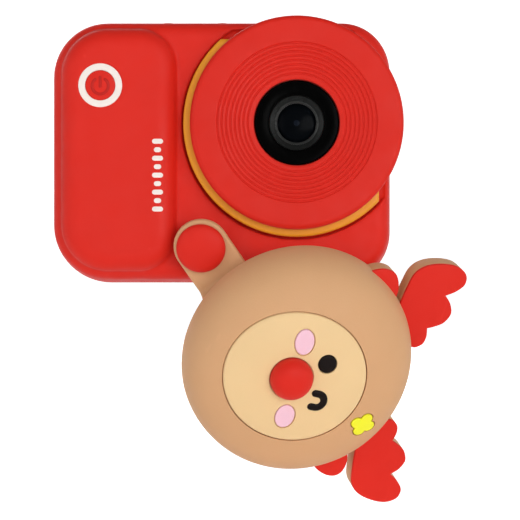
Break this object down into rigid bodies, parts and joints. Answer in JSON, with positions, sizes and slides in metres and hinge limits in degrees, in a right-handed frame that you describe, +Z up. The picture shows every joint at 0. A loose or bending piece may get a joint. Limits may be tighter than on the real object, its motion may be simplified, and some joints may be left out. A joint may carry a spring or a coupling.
{
  "type": "kids digital camera",
  "caption": "Toy digital camera in a soft sleeve with a round hooded lens, rear screen and keys, and a swing-out animal-face lens cover on a strap.",
  "frame": {"origin": "centre of the flat base of the sleeve", "axes": "+X to the right seen from the front, +Y from the front towards the back, +Z up; the front faces -Y"},
  "size_m": [0.1161, 0.0534, 0.1365],
  "materials": {
    "red_silicone": "satin soft touch",
    "red_plastic": "satin moulded",
    "red_hood": "satin, fine turned grooves",
    "yellow_plastic": "satin moulded",
    "black_window": "gloss",
    "lens_glass": "coated glass",
    "black_plastic": "matte",
    "circuit_board": "solder mask",
    "foil": "brushed foil",
    "steel": "brushed",
    "white_plastic": "satin",
    "tan_silicone": "matte moulded",
    "cream_silicone": "matte moulded",
    "black_silicone": "satin",
    "pink_silicone": "matte",
    "yellow_silicone": "matte"
  },
  "bodies": {
    "body": {"silicone_sleeve": "red_silicone", "front_housing": "red_plastic", "rear_housing": "red_plastic", "housing_screw_1": "steel", "housing_screw_2": "steel", "housing_screw_3": "steel", "housing_screw_4": "steel", "lens_collar": "yellow_plastic", "lens_hood": "red_hood", "lens_bezel": "black_window", "lens_element": "lens_glass", "lens_barrel": "black_plastic", "sensor_board": "circuit_board", "main_board": "circuit_board", "battery": "foil", "speaker": "black_plastic", "usb_socket": "steel", "card_socket": "steel", "key_board": "circuit_board", "lcd_panel": "foil", "screen_window": "black_window", "rear_lens_window": "black_window", "rear_lens_module": "black_plastic", "power_switch": "black_plastic", "power_board": "circuit_board", "power_ring": "white_plastic", "pivot_post": "red_plastic", "pivot_button": "red_silicone"},
    "power_key": {"power_button": "red_plastic"},
    "shutter_key": {"shutter_button": "red_silicone"},
    "mode_key": {"mode_button": "red_silicone"},
    "key_ok_body": {"key_ok": "white_plastic"},
    "key_up_body": {"key_up": "white_plastic"},
    "key_down_body": {"key_down": "white_plastic"},
    "key_left_body": {"key_left": "white_plastic"},
    "key_right_body": {"key_right": "white_plastic"},
    "key_menu_body": {"key_menu": "white_plastic"},
    "key_play_body": {"key_play": "white_plastic"},
    "flap": {"port_flap": "red_silicone"},
    "cover_arm": {"cover_strap": "tan_silicone"},
    "cover_head": {"cover_cap": "tan_silicone", "face_plate": "cream_silicone", "flower": "yellow_silicone", "nose": "red_silicone", "eye_round": "black_silicone", "eye_wink": "black_silicone", "cheek_left": "pink_silicone", "cheek_right": "pink_silicone", "antler_left": "tan_silicone", "antler_left_front": "red_silicone", "antler_right": "tan_silicone", "antler_right_front": "red_silicone", "ear_left": "tan_silicone", "ear_left_front": "red_silicone", "ear_right": "tan_silicone", "ear_right_front": "red_silicone"}
  },
  "joints": [
    {"name": "power_press", "type": "slide", "parent": "body", "child": "power_key", "axis": [0, 1, 0], "range_m": [0, 0.0008], "stiffness_N_per_m": 400},
    {"name": "shutter_press", "type": "slide", "parent": "body", "child": "shutter_key", "axis": [0, 0, -1], "range_m": [0, 0.0006], "stiffness_N_per_m": 400},
    {"name": "mode_press", "type": "slide", "parent": "body", "child": "mode_key", "axis": [0, 0, -1], "range_m": [0, 0.0006], "stiffness_N_per_m": 400},
    {"name": "key_ok_press", "type": "slide", "parent": "body", "child": "key_ok_body", "axis": [0, -1, 0], "range_m": [0, 0.0005], "stiffness_N_per_m": 300},
    {"name": "key_up_press", "type": "slide", "parent": "body", "child": "key_up_body", "axis": [0, -1, 0], "range_m": [0, 0.0005], "stiffness_N_per_m": 300},
    {"name": "key_down_press", "type": "slide", "parent": "body", "child": "key_down_body", "axis": [0, -1, 0], "range_m": [0, 0.0005], "stiffness_N_per_m": 300},
    {"name": "key_left_press", "type": "slide", "parent": "body", "child": "key_left_body", "axis": [0, -1, 0], "range_m": [0, 0.0005], "stiffness_N_per_m": 300},
    {"name": "key_right_press", "type": "slide", "parent": "body", "child": "key_right_body", "axis": [0, -1, 0], "range_m": [0, 0.0005], "stiffness_N_per_m": 300},
    {"name": "key_menu_press", "type": "slide", "parent": "body", "child": "key_menu_body", "axis": [0, -1, 0], "range_m": [0, 0.0005], "stiffness_N_per_m": 300},
    {"name": "key_play_press", "type": "slide", "parent": "body", "child": "key_play_body", "axis": [0, -1, 0], "range_m": [0, 0.0005], "stiffness_N_per_m": 300},
    {"name": "flap_hinge", "type": "hinge", "parent": "body", "child": "flap", "pos_m": [-0.0475, -0.003, 0.02], "axis": [0, -1, 0], "range_deg": [0, 100]},
    {"name": "cover_swivel", "type": "hinge", "parent": "body", "child": "cover_arm", "pos_m": [-0.0052, -0.019, 0.0101], "axis": [-0.0221, -0.9673, -0.2528], "range_deg": [-20, 103.3]},
    {"name": "cover_press", "type": "slide", "parent": "cover_arm", "child": "cover_head", "axis": [0.2795, 0.917, -0.2847], "range_m": [0, 0.00622]}
  ]
}
